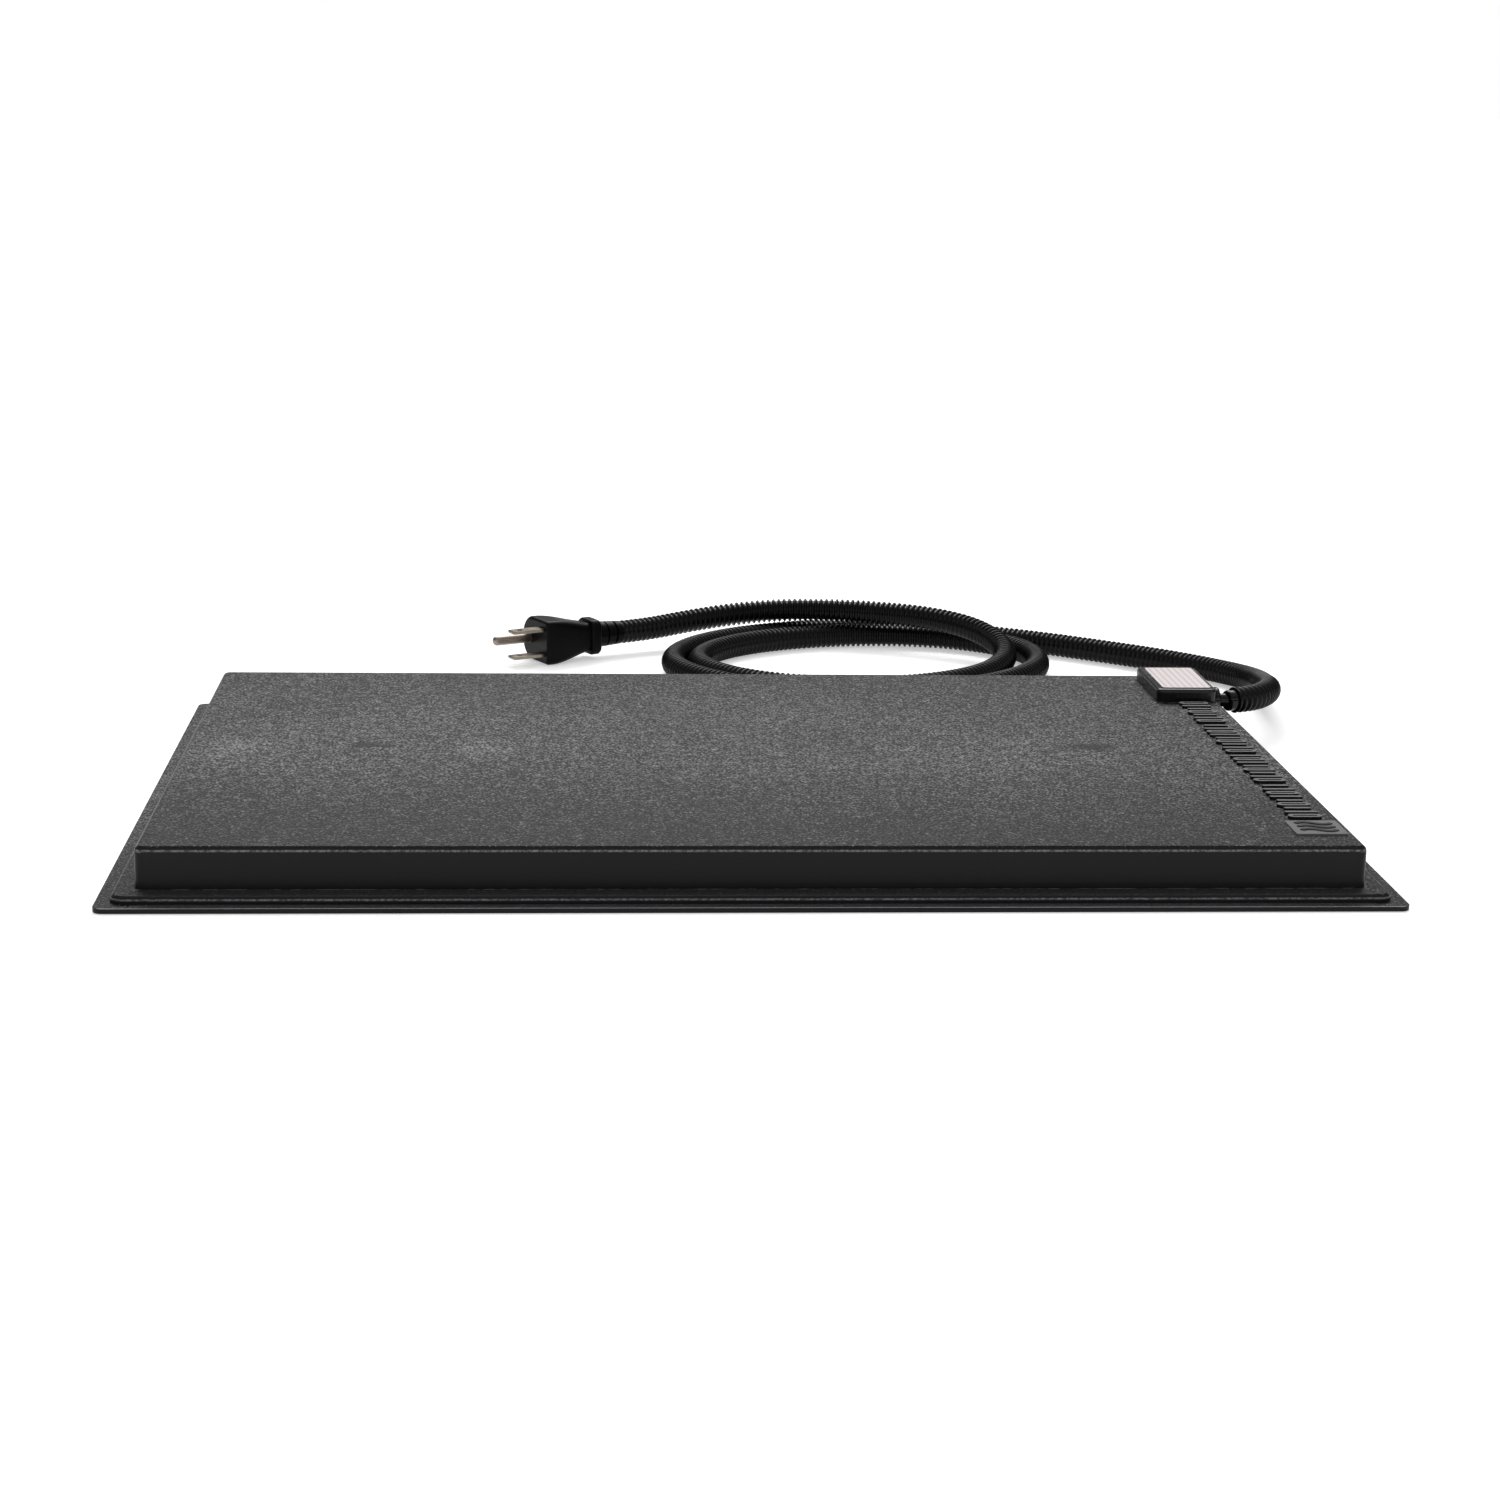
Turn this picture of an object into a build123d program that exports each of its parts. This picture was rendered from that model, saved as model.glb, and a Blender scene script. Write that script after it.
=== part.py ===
"""Rigid heated pad for germinating trays: two moulded shells, a heater pack with a snap-disc
thermostat, a junction box, and a mains cord in corrugated conduit with a three-pin plug.

Millimetres, +Z up, +X along the pad's long side towards the junction box, +Y towards the cord.
The origin is the centre of the pad's underside.
"""
import os
from math import cos, pi, radians, sin, tan

from build123d import *

# ---------------------------------------------------------------- driving dimensions
PAD_W, PAD_D = 469.9, 317.5          # 18.5 x 12.5 in
BASE_T = 1.0                         # bottom sheet
FLANGE_TOP = 1.9                     # top face of the flange
FLANGE_R = 3.5                       # plan radius of the flange's corners
STEP_INSET, STEP_TOP, STEP_R = 5.2, 4.7, 5.0
DECK_INSET_X, DECK_INSET_Y, DECK_TOP, DECK_R = 13.0, 14.3, 20.3, 3.0
DECK_EDGE, STEP_EDGE = 2.2, 1.8      # rounding of the top edges
WALL = 1.6                           # moulded wall
DECK_UNDER = DECK_TOP - WALL         # underside of the deck panel

MARK_H, MARK_X0, MARK_X1 = 1.2, 202.0, 215.0
MARK_ROWS = ((-105.5, 9), (-52.0, 8), (-4.5, 9), (49.0, 7))   # (first bar, bars) in each group
MARK_PITCH, MARK_T = 5.6, 2.0
BADGE_C, BADGE_SIZE = (208.8, -120.5), (19.4, 18.4)

BOX_X0, BOX_X1, BOX_Y0, BOX_Y1 = 193.5, 220.3, 88.0, 136.0
BOX_TOP, GASKET_T, BOX_WALL = 26.2, 0.4, 1.8
BOX_MID = ((BOX_X0 + BOX_X1) / 2, (BOX_Y0 + BOX_Y1) / 2)
BOX_SIZE = (BOX_X1 - BOX_X0, BOX_Y1 - BOX_Y0)
BOX_OPENING = (14.0, 39.0)           # through the deck panel under the box
LABEL_C, LABEL_SIZE, LABEL_T = (207.6, 113.2), (22.0, 42.0), 0.25
SCREW_R, SCREW_HEAD_R = 1.1, 2.1

GLAND_Y, GLAND_Z, GLAND_R = 98.5, 19.1, 5.9
GLAND_X0, GLAND_X1 = 209.5, 223.4
CABLE_R, SLEEVE_R, CONDUIT_R = 3.0, 4.7, 5.9
EXIT = (230.6, 99.0, 19.0)           # mouth of the conduit
EXIT_HEADING = 20.0                  # degrees from +X towards +Y
SLEEVE_BACK, SLEEVE_IN = 4.2, 5.5    # sleeve outside and inside the conduit's mouth
CABLE_END_X = 206.5                  # the cable's jacket ends inside the box

FOIL_T, HEATER_R, HEATER_PITCH, HEATER_RUNS = 0.15, 1.5, 26.0, 10
HEATER_X0, HEATER_X1 = -198.0, 152.0
JOINT_Z = 9.0                        # the heater's ends drop to this height
TAPE_T, BOARD_TOP, BOARD_LOW, BOARD_STEP_X = 0.15, 14.4, 6.0, 151.0
THERMO = (171.0, 39.0)               # centre of the thermostat
THERMO_TRAVEL = 0.6

FLOOR_CENTRE = 6.0                   # height of a conduit that lies on the floor

# The plug lies on its side; its blades point away from the cord.
PLUG_AT, PLUG_HEADING, NECK_END = (-81.0, 260.0, 11.1), 28.0, 46.0
FLANGE_END = 32.2                    # end of the plug's finger flange along its axis
PLUG_LINE = [
    (PLUG_AT[0] + x * cos(radians(PLUG_HEADING)), PLUG_AT[1] + x * sin(radians(PLUG_HEADING)), PLUG_AT[2])
    for x in (NECK_END + 17.0, NECK_END)
]

# The cord's route where it isn't coiled, from the pad to the coil and from the coil to the plug.
LEAD_IN = [
    EXIT, (240.0, 102.4, 19.0), (249.2, 114.5, 18.7), (255.0, 132.0, 16.9), (258.0, 152.0, 13.8),
    (262.0, 175.5, 10.1), (262.2, 199.0, 7.1), (254.2, 217.6, 6.0), (239.0, 235.0, 6.0),
    (222.0, 250.5, 6.0), (202.0, 266.0, 6.0), (179.0, 283.0, 6.0), (154.0, 298.0, 6.0),
    (128.0, 310.0, 6.0), (100.0, 317.0, 6.0), (72.3, 316.5, 6.0),
]
LEAD_OUT = [
    (84.5, 178.2, 6.0), (107.0, 185.5, 6.0), (128.5, 200.5, 6.0), (143.5, 220.5, 6.5),
    (151.3, 241.0, 8.5), (149.0, 259.0, 12.3), (137.0, 275.8, 16.2), (117.5, 289.2, 18.1),
    (94.0, 300.0, 18.3), (69.0, 306.5, 18.2), (43.0, 309.0, 17.7), (17.0, 307.0, 15.5),
    (-8.0, 298.8, 12.9), *PLUG_LINE,
]
COIL_OUTER = ((74.9, 241.0), 99.2, 80.0)      # centre and half axes of the coil's outside
COIL_INNER = ((81.2, 241.5), 79.6, 54.6)      # and of the hole in its middle
COIL_TURN, COIL_H = 13.0, 11.8

BLADE_GAP, BLADE_W, BLADE_T, BLADE_L = 12.7, 6.35, 1.5, 17.0
GROUND_R, GROUND_OFFSET, GROUND_L = 2.4, 11.9, 20.5
BLADE_Y = -4.0                       # the blades' line beside the plug's axis


# ---------------------------------------------------------------- helpers
def slab(width, depth, radius, z0, z1):
    """A flat block about the Z axis with rounded vertical edges."""
    return Pos(0, 0, z0) * extrude(RectangleRounded(width, depth, radius), amount=z1 - z0)


def soften_top(solid, radius):
    """Rounds every edge of the topmost face."""
    return fillet(solid.faces().sort_by(Axis.Z)[-1].outer_wire().edges(), radius)


def rod_x(radius, x0, x1, y, z):
    return Pos((x0 + x1) / 2, y, z) * Rot(0, 90, 0) * Cylinder(radius, x1 - x0)


def disc(radius, z0, z1, at=(0.0, 0.0)):
    return Pos(at[0], at[1], (z0 + z1) / 2) * Cylinder(radius, z1 - z0)


def brick(x0, x1, y0, y1, z0, z1):
    return Pos((x0 + x1) / 2, (y0 + y1) / 2, (z0 + z1) / 2) * Box(x1 - x0, y1 - y0, z1 - z0)


def arc_radii(points):
    """0.45 of the shorter run beside each inner point, over the tangent of half its turn."""
    radii = []
    for before, here, after in zip(points, points[1:], points[2:]):
        run_a, run_b = Vector(*here) - Vector(*before), Vector(*after) - Vector(*here)
        half_turn = radians(run_a.get_angle(run_b)) / 2
        radii.append(0.45 * min(run_a.length, run_b.length) / tan(half_turn))
    return radii


def tube(points, radius, radii=None):
    """A round bar along straight runs joined by tangent arcs."""
    path = FilletPolyline(*points, radius=radii or arc_radii(points))
    section = Plane(origin=points[0], z_dir=Vector(*points[1]) - Vector(*points[0])) * Circle(radius)
    bar = sweep(section, path=path)
    return bar, path.length


def heading_plane(at, degrees):
    """A plane at a point whose normal lies in the XY plane at that heading."""
    return Plane(origin=at, x_dir=(0, 0, 1), z_dir=(cos(radians(degrees)), sin(radians(degrees)), 0))


def ellipse_block(centre, a, b, height):
    face = Ellipse(a, b).rotate(Axis.Z, COIL_TURN)
    return Pos(centre[0], centre[1], 0) * extrude(face, amount=height)


# ---------------------------------------------------------------- shells
def raised_marks():
    """Groups of plain raised bars along the right side of the deck; every third is a link."""
    bars = []
    length, middle = MARK_X1 - MARK_X0, (MARK_X0 + MARK_X1) / 2
    for first, count in MARK_ROWS:
        for i in range(count):
            outline = SlotOverall(length if i % 2 else length - 2.5, MARK_T)
            if i % 3 == 0:
                outline = SlotOverall(length, 4.4) - SlotOverall(length - 3.4, 1.3)
            bars.append(Pos(middle, first + i * MARK_PITCH, DECK_TOP) * extrude(outline, amount=MARK_H))
    return bars


def box_opening():
    """The hole in the deck panel under the junction box."""
    hole = extrude(RectangleRounded(*BOX_OPENING, 2.0), amount=WALL + 2)
    return Pos(BOX_MID[0], BOX_MID[1], DECK_UNDER - 1) * hole


def box_screw_points():
    """Three corners; the gland takes the place of the fourth."""
    dx, dy = BOX_SIZE[0] / 2 - 2.9, BOX_SIZE[1] / 2 - 3.6
    return [(BOX_MID[0] + sx * dx, BOX_MID[1] + sy * dy) for sx, sy in ((-1, -1), (-1, 1), (1, 1))]


def top_shell():
    flange = slab(PAD_W, PAD_D, FLANGE_R, BASE_T, FLANGE_TOP)
    step_w, step_d = PAD_W - 2 * STEP_INSET, PAD_D - 2 * STEP_INSET
    deck_w, deck_d = PAD_W - 2 * DECK_INSET_X, PAD_D - 2 * DECK_INSET_Y
    step = soften_top(slab(step_w, step_d, STEP_R, BASE_T, STEP_TOP), STEP_EDGE)
    deck = soften_top(slab(deck_w, deck_d, DECK_R, BASE_T, DECK_TOP), DECK_EDGE)
    shell = flange + step + deck
    shell -= slab(step_w - 2 * WALL, step_d - 2 * WALL, STEP_R - WALL, BASE_T, STEP_TOP - WALL)
    shell -= slab(deck_w - 2 * WALL, deck_d - 2 * WALL, DECK_R - WALL, BASE_T, DECK_UNDER)
    shell -= box_opening()
    shell -= rod_x(GLAND_R, GLAND_X0, GLAND_X1 + 1, GLAND_Y, GLAND_Z)
    for x, y in box_screw_points():
        shell -= disc(SCREW_R + 0.2, DECK_UNDER - 1, DECK_TOP + 1, (x, y))
    return shell + raised_marks()


def bottom_shell():
    """The flat underside, with a rib that locates it inside the top shell's step."""
    sheet = slab(PAD_W, PAD_D, FLANGE_R, 0, BASE_T)
    sheet = fillet(sheet.faces().sort_by(Axis.Z)[0].outer_wire().edges(), 0.4)
    rib_w, rib_d = PAD_W - 2 * STEP_INSET - 2 * WALL - 0.6, PAD_D - 2 * STEP_INSET - 2 * WALL - 0.6
    rib = slab(rib_w, rib_d, STEP_R - WALL, BASE_T, BASE_T + 1.6)
    rib -= slab(rib_w - 2.4, rib_d - 2.4, STEP_R - WALL - 1, BASE_T, BASE_T + 1.6)
    return sheet + rib


def badge():
    """A badge plate with three raised wavy lines for warmth."""
    plate = Pos(*BADGE_C, DECK_TOP) * extrude(RectangleRounded(*BADGE_SIZE, 0.6), amount=0.8)
    waves = []
    for offset in (-4.6, 0.0, 4.6):
        line = Spline((-6.5, offset), (-3.2, offset + 1.4), (3.2, offset - 1.4), (6.5, offset))
        waves.append(Pos(*BADGE_C, DECK_TOP + 0.8) * extrude(trace(line, line_width=1.9), amount=0.4))
    return plate + waves


# ---------------------------------------------------------------- junction box and gland
def block_hull(z0):
    return Pos(*BOX_MID, z0) * extrude(RectangleRounded(*BOX_SIZE, 3.0), amount=BOX_TOP - z0)


def box_cover():
    z0 = DECK_TOP + GASKET_T
    block = Pos(*BOX_MID, z0) * extrude(RectangleRounded(*BOX_SIZE, 3.0), amount=BOX_TOP - z0)
    block = fillet(block.faces().sort_by(Axis.Z)[-1].outer_wire().edges(), 1.5)
    inside = extrude(RectangleRounded(BOX_SIZE[0] - 2 * BOX_WALL, BOX_SIZE[1] - 2 * BOX_WALL, 1.5),
                     amount=BOX_TOP - BOX_WALL - z0)
    block -= Pos(*BOX_MID, z0) * inside
    for x, y in box_screw_points():
        block += disc(2.6, z0, BOX_TOP - BOX_WALL, (x, y)) & block_hull(z0)
        block -= disc(SCREW_R, z0, BOX_TOP - 2.2, (x, y))
    pocket = extrude(RectangleRounded(*LABEL_SIZE, 2.0), amount=LABEL_T + 0.15)
    block -= Pos(*LABEL_C, BOX_TOP - LABEL_T - 0.15) * pocket
    return block - rod_x(GLAND_R, GLAND_X0, GLAND_X1 + 1, GLAND_Y, GLAND_Z)


def box_gasket():
    ring = RectangleRounded(BOX_SIZE[0] - 0.6, BOX_SIZE[1] - 0.6, 2.7)
    ring -= RectangleRounded(*BOX_OPENING, 2.0)
    gasket = Pos(*BOX_MID, DECK_TOP) * extrude(ring, amount=GASKET_T)
    for x, y in box_screw_points():
        gasket -= disc(SCREW_R + 0.2, DECK_TOP, DECK_TOP + 1, (x, y))
    return gasket - rod_x(GLAND_R, GLAND_X0, GLAND_X1 + 1, GLAND_Y, GLAND_Z)


def rating_label():
    face = RectangleRounded(LABEL_SIZE[0] - 0.2, LABEL_SIZE[1] - 0.2, 1.9)
    return Pos(*LABEL_C, BOX_TOP - LABEL_T - 0.15) * extrude(face, amount=LABEL_T)


def box_screws():
    """Pan-head screws, put in from under the deck panel."""
    screws = []
    for x, y in box_screw_points():
        shank = disc(SCREW_R, DECK_UNDER, BOX_TOP - 2.2, (x, y))
        screws.append(shank + disc(SCREW_HEAD_R, DECK_UNDER - 1.4, DECK_UNDER, (x, y)))
    return Compound(children=screws)


def cord_gland():
    """The round boss that the cable leaves through, with a nut inside the box."""
    body = rod_x(GLAND_R, GLAND_X0 + 2.5, GLAND_X1, GLAND_Y, GLAND_Z)
    body = fillet(body.faces().sort_by(Axis.X)[-1].outer_wire().edges(), 1.4)
    groove = rod_x(GLAND_R + 1, 220.9, 221.5, GLAND_Y, GLAND_Z) - rod_x(GLAND_R - 0.6, 220, 222, GLAND_Y, GLAND_Z)
    return body - groove - rod_x(CABLE_R, GLAND_X0, GLAND_X1 + 1, GLAND_Y, GLAND_Z)


def gland_nut():
    nut = Pos(GLAND_X0 + 1.25, GLAND_Y, GLAND_Z) * Rot(0, 90, 0) * extrude(RegularPolygon(5.3, 6), 1.25, both=True)
    return nut - rod_x(CABLE_R, GLAND_X0 - 1, GLAND_X1, GLAND_Y, GLAND_Z)


def cable_route():
    """From inside the box, out through the gland and round to the sleeve's heading."""
    back = Vector(cos(radians(EXIT_HEADING)), sin(radians(EXIT_HEADING)), 0)
    mouth = Vector(*EXIT)
    inner = mouth + back * SLEEVE_IN
    corner_x = EXIT[0] - (EXIT[1] - GLAND_Y) / tan(radians(EXIT_HEADING))
    return [(CABLE_END_X, GLAND_Y, GLAND_Z), (corner_x, GLAND_Y, GLAND_Z), (inner.X, inner.Y, inner.Z)]


def power_cable():
    return tube(cable_route(), CABLE_R, [6.0])[0]


def sleeve_solid(radius, extra=0.0):
    plane = heading_plane(EXIT, EXIT_HEADING)
    return extrude(plane.offset(-SLEEVE_BACK) * Circle(radius), SLEEVE_BACK + SLEEVE_IN + extra)


def strain_sleeve():
    """A smooth rubber sleeve on the cable, its inner end inside the conduit's mouth."""
    body = sleeve_solid(SLEEVE_R)
    outer = body.faces().sort_by_distance(Vector(*EXIT) - Vector(20, 14, 0))[0]
    body = fillet(outer.outer_wire().edges(), 1.2)
    return body - power_cable()


# ---------------------------------------------------------------- heater pack
def spreader_foil():
    foil = brick(HEATER_X0 - 14, HEATER_X1 + 37, -131, 131, DECK_UNDER - FOIL_T, DECK_UNDER)
    return foil - disc(1.2, DECK_UNDER - 1, DECK_UNDER + 1, GROUND_AT)


def serpentine():
    z = DECK_UNDER - FOIL_T - HEATER_R
    first = -HEATER_PITCH * (HEATER_RUNS - 1) / 2
    points = [(HEATER_X1 + 26, first, JOINT_Z), (HEATER_X1 + 13, first, JOINT_Z)]
    for i in range(HEATER_RUNS):
        y = first + i * HEATER_PITCH
        ends = (HEATER_X1, HEATER_X0) if i % 2 == 0 else (HEATER_X0, HEATER_X1)
        points += [(ends[0], y, z), (ends[1], y, z)]
    return points + [(HEATER_X1 + 13, -first, JOINT_Z), (HEATER_X1 + 26, -first, JOINT_Z)]


def heating_cable():
    """Ten runs under the foil; both ends drop to the crimped joints beside the board."""
    bends = [6.0, 6.0] + [HEATER_PITCH / 2 - 0.2] * (2 * HEATER_RUNS - 2) + [6.0, 6.0]
    return tube(serpentine(), HEATER_R, bends)[0]


def cable_tapes():
    z1 = DECK_UNDER - FOIL_T - 2 * HEATER_R
    tapes = [brick(x - 12, x + 12, -131, 131, z1 - TAPE_T, z1) for x in (-170, -90, -10, 70, 130)]
    return Compound(children=tapes)


def insulation_board():
    """Foam between the heater and the bottom shell, thin where the wiring lies."""
    high = brick(-212, BOARD_STEP_X, -137, 137, BASE_T, BOARD_TOP)
    return high + brick(BOARD_STEP_X, 214, -137, 137, BASE_T, BOARD_LOW)


# ---------------------------------------------------------------- thermostat
T_TOP = DECK_UNDER - FOIL_T          # the cap touches the foil
T_GUIDE_TOP, T_GUIDE_BOTTOM = T_TOP - 1.9, T_TOP - 3.6
T_BASE = BOARD_LOW
T_CONTACT_Z = T_GUIDE_BOTTOM - 1.4   # where the fixed and moving contacts meet
TAB_END, TAB_Z = 17.0, T_GUIDE_BOTTOM - 0.4
WIRE_R, WIRE_Z = 1.1, BOARD_LOW + 1.6


def thermostat_cap():
    return disc(8.4, T_GUIDE_BOTTOM, T_TOP, THERMO) - disc(7.9, T_GUIDE_BOTTOM, T_TOP - 0.4, THERMO)


def thermostat_disc():
    """The bimetal disc, a shallow dome held at its rim."""
    dome = Sphere(60.0) - Sphere(59.75)
    cut = Pos(0, 0, 60.0) * Box(200, 200, 0.8)
    rim = Cylinder(7.0, 200)
    shell = dome & cut & rim
    return Pos(THERMO[0], THERMO[1], T_TOP - 0.5 - 60.0) * shell


def thermostat_guide():
    """Guides the pin, and carries the disc on its rim."""
    guide = disc(7.8, T_GUIDE_BOTTOM, T_GUIDE_TOP + 1.0, THERMO) - disc(6.3, T_GUIDE_TOP, T_TOP, THERMO)
    return guide - disc(1.05, T_GUIDE_BOTTOM - 1, T_GUIDE_TOP + 1, THERMO)


def thermostat_housing():
    body = disc(8.4, T_BASE, T_GUIDE_BOTTOM, THERMO) - disc(5.8, T_BASE + 1.5, T_GUIDE_BOTTOM, THERMO)
    for side in (-1, 1):
        body -= terminal_tab(side)
    return body


def terminal_tab(side):
    y0, y1 = sorted((THERMO[1] + side * 1.9, THERMO[1] + side * TAB_END))
    return brick(THERMO[0] - 2.4, THERMO[0] + 2.4, y0, y1, T_GUIDE_BOTTOM - 0.8, T_GUIDE_BOTTOM)


def contact_at(side):
    return (THERMO[0], THERMO[1] + side * 3.4)


def terminal(side):
    """A flat terminal with its fixed contact underneath."""
    return terminal_tab(side) + disc(1.1, T_CONTACT_Z, T_GUIDE_BOTTOM - 0.8, contact_at(side))


def contact_bridge():
    """The moving bridge, with a silver contact at each end."""
    top = T_CONTACT_Z - 0.6
    bridge = brick(THERMO[0] - 1.3, THERMO[0] + 1.3, THERMO[1] - 4.7, THERMO[1] + 4.7, top - 0.5, top)
    for side in (-1, 1):
        bridge += disc(1.1, top, T_CONTACT_Z - 0.02, contact_at(side))
    return bridge


def receptacle(side):
    """The push-on connector at the outer end of a terminal."""
    y0, y1 = sorted((THERMO[1] + side * (TAB_END - 6), THERMO[1] + side * (TAB_END + 5)))
    body = brick(THERMO[0] - 3.3, THERMO[0] + 3.3, y0, y1, TAB_Z - 1.7, TAB_Z + 1.7)
    bore = Pos(THERMO[0], THERMO[1] + side * (TAB_END + 3), TAB_Z) * Rot(90, 0, 0) * Cylinder(WIRE_R, 6)
    return body - terminal_tab(side) - bore


def transfer_pin():
    return disc(1.0, T_CONTACT_Z - 0.6, T_TOP - 1.25, THERMO)


def contact_spring():
    height = T_CONTACT_Z - 1.1 - (T_BASE + 1.5)
    wire_r, turns = 0.2, 4
    helix = Helix(pitch=(height - 2 * wire_r) / turns, height=height - 2 * wire_r, radius=1.9)
    wire = sweep(Plane(origin=helix @ 0, z_dir=helix % 0) * Circle(wire_r), path=helix, is_frenet=True)
    return Pos(THERMO[0], THERMO[1], T_BASE + 1.5 + wire_r) * wire


# ---------------------------------------------------------------- wiring inside the pad
CORE_X, CORE_Z = CABLE_END_X - 0.6, GLAND_Z + 0.6
GROUND_AT = (183.0, GLAND_Y)


def heater_joint(side):
    """A crimped sleeve where a lead meets the heating cable."""
    x, y = HEATER_X1 + 26, side * HEATER_PITCH * (HEATER_RUNS - 1) / 2
    return rod_x(2.5, x - 8, x + 8, y, JOINT_Z) - rod_x(HEATER_R, x - 9, x, y, JOINT_Z) \
        - rod_x(WIRE_R, x + 1, x + 9, y, JOINT_Z)


def line_lead():
    """From the cable's end to the thermostat's near terminal."""
    return tube([(CORE_X, GLAND_Y - 1.35, CORE_Z), (203.2, GLAND_Y - 3.0, CORE_Z),
                 (203.2, GLAND_Y - 3.0, WIRE_Z), (203.2, THERMO[1] + 32, WIRE_Z),
                 (THERMO[0], THERMO[1] + 32, WIRE_Z), (THERMO[0], THERMO[1] + 27, TAB_Z),
                 (THERMO[0], THERMO[1] + TAB_END + 1, TAB_Z)], WIRE_R, [2.2, 3.0, 4.0, 2.2, 2.2])[0]


def load_lead():
    """From the thermostat's far terminal to the heating cable's front end."""
    y, x = -HEATER_PITCH * (HEATER_RUNS - 1) / 2, HEATER_X1 + 27
    return tube([(THERMO[0], THERMO[1] - TAB_END - 1, TAB_Z), (THERMO[0], THERMO[1] - 28, TAB_Z),
                 (THERMO[0] + 24, THERMO[1] - 40, JOINT_Z), (THERMO[0] + 24, y, JOINT_Z),
                 (x, y, JOINT_Z)], WIRE_R, [4.0, 6.0, 6.0])[0]


def neutral_lead():
    """From the cable's end to the heating cable's back end."""
    y, x = HEATER_PITCH * (HEATER_RUNS - 1) / 2, HEATER_X1 + 27
    return tube([(CORE_X, GLAND_Y + 1.35, CORE_Z), (202.0, GLAND_Y + 3.0, CORE_Z),
                 (202.0, GLAND_Y + 3.0, JOINT_Z), (202.0, y, JOINT_Z), (x, y, JOINT_Z)],
                WIRE_R, [2.2, 3.0, 5.0])[0]


def ground_lead():
    """From the cable's end to the ring terminal under the foil."""
    z = DECK_UNDER - FOIL_T - 1.6
    return tube([(CORE_X, GLAND_Y, GLAND_Z - 1.6), (198.0, GLAND_Y, z), (187.0, GLAND_Y, z)], WIRE_R, [20.0])[0]


def ground_terminal():
    z1 = DECK_UNDER - FOIL_T
    tag = disc(3.2, z1 - 0.8, z1, GROUND_AT) + rod_x(1.6, GROUND_AT[0] + 2.5, 191, GLAND_Y, z1 - 1.6)
    return tag - rod_x(WIRE_R, 187, 192, GLAND_Y, z1 - 1.6) - disc(1.2, z1 - 2, z1 + 1, GROUND_AT)


def ground_rivet():
    z1 = DECK_UNDER - FOIL_T
    return disc(1.2, z1 - 0.8, DECK_UNDER, GROUND_AT) + disc(2.0, z1 - 1.4, z1 - 0.8, GROUND_AT)


# ---------------------------------------------------------------- cord and plug
def coil_ring():
    """The outside shape of the coil that lies behind the pad."""
    return ellipse_block(*COIL_OUTER, COIL_H) - ellipse_block(*COIL_INNER, COIL_H)


def conduit_lead_in():
    bar, length = tube(LEAD_IN, CONDUIT_R)
    report_tube("conduit_lead_in", LEAD_IN, bar, length)
    return bar - sleeve_solid(SLEEVE_R) - power_cable()


def conduit_lead_out():
    bar, length = tube(LEAD_OUT, CONDUIT_R)
    report_tube("conduit_lead_out", LEAD_OUT, bar, length)
    return bar


def report_tube(name, points, bar, length):
    expected = pi * CONDUIT_R ** 2 * length
    print(name, "arc radii", [round(r, 1) for r in arc_radii(points)])
    print(name, "length", round(length, 1), "volume over section times length", round(bar.volume / expected, 4))


def plug_place(solid):
    return Pos(*PLUG_AT) * Rot(0, 0, PLUG_HEADING) * solid


def plug_section(x, y0, y1, height, r_near, r_far):
    """A block section in the YZ plane, squarer on the near side than on the far one."""
    outline = Rectangle(y1 - y0, height)
    outline = fillet(outline.vertices().group_by(Axis.X)[0], r_near)
    outline = fillet(outline.vertices().group_by(Axis.X)[-1], r_far)
    return Plane(origin=(x, (y0 + y1) / 2, 0), x_dir=(0, 1, 0), z_dir=(1, 0, 0)) * outline


def plug_body():
    """The moulded grip: nearly flat on the blades' side, narrowing to a finger flange."""
    grip = loft([plug_section(0, -11, 16, 21.6, 3.0, 9.5), plug_section(7, -11, 15.5, 21.6, 3.0, 9.5),
                 plug_section(18, -9, 11, 17.4, 3.5, 7.5), plug_section(28, -7.5, 7.5, 14.2, 4.0, 6.0)])
    grip = fillet(grip.faces().sort_by(Axis.X)[0].outer_wire().edges(), 1.6)
    flange = extrude(plug_section(26.4, -9.0, 8.8, 17.6, 4.0, 6.5), 5.8)
    flange = fillet(flange.faces().sort_by(Axis.X)[-1].outer_wire().edges(), 1.8)
    flange = fillet(flange.faces().sort_by(Axis.X)[0].outer_wire().edges(), 1.2)
    blank = grip + flange
    for z in (-BLADE_GAP / 2, BLADE_GAP / 2):
        blank -= Pos(6, BLADE_Y, z) * Box(12, BLADE_W, BLADE_T)
    blank -= rod_x(GROUND_R - 0.6, -1, 12, BLADE_Y + GROUND_OFFSET, 0)
    return plug_place(blank)


def plug_neck():
    """The ribbed strain relief between the finger flange and the conduit."""
    length = NECK_END - FLANGE_END
    cone = Cone(6.6, 5.8, length, align=(Align.CENTER, Align.CENTER, Align.MIN))
    neck = Pos(FLANGE_END, 0, 0) * Rot(0, 90, 0) * cone
    for x, width in ((37.0, 0.9), (41.8, 1.3)):
        neck -= rod_x(9, x, x + width, 0, 0) - rod_x(5.0, x - 1, x + 3, 0, 0)
    return plug_place(neck)


def blade(z):
    flat = Pos((12 - BLADE_L) / 2, BLADE_Y, z) * Box(12 + BLADE_L, BLADE_W, BLADE_T)
    flat = chamfer(flat.faces().sort_by(Axis.X)[0].edges(), 0.5)
    return plug_place(flat - Pos(-BLADE_L + 5, BLADE_Y, z) * Cylinder(1.6, 4))


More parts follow.
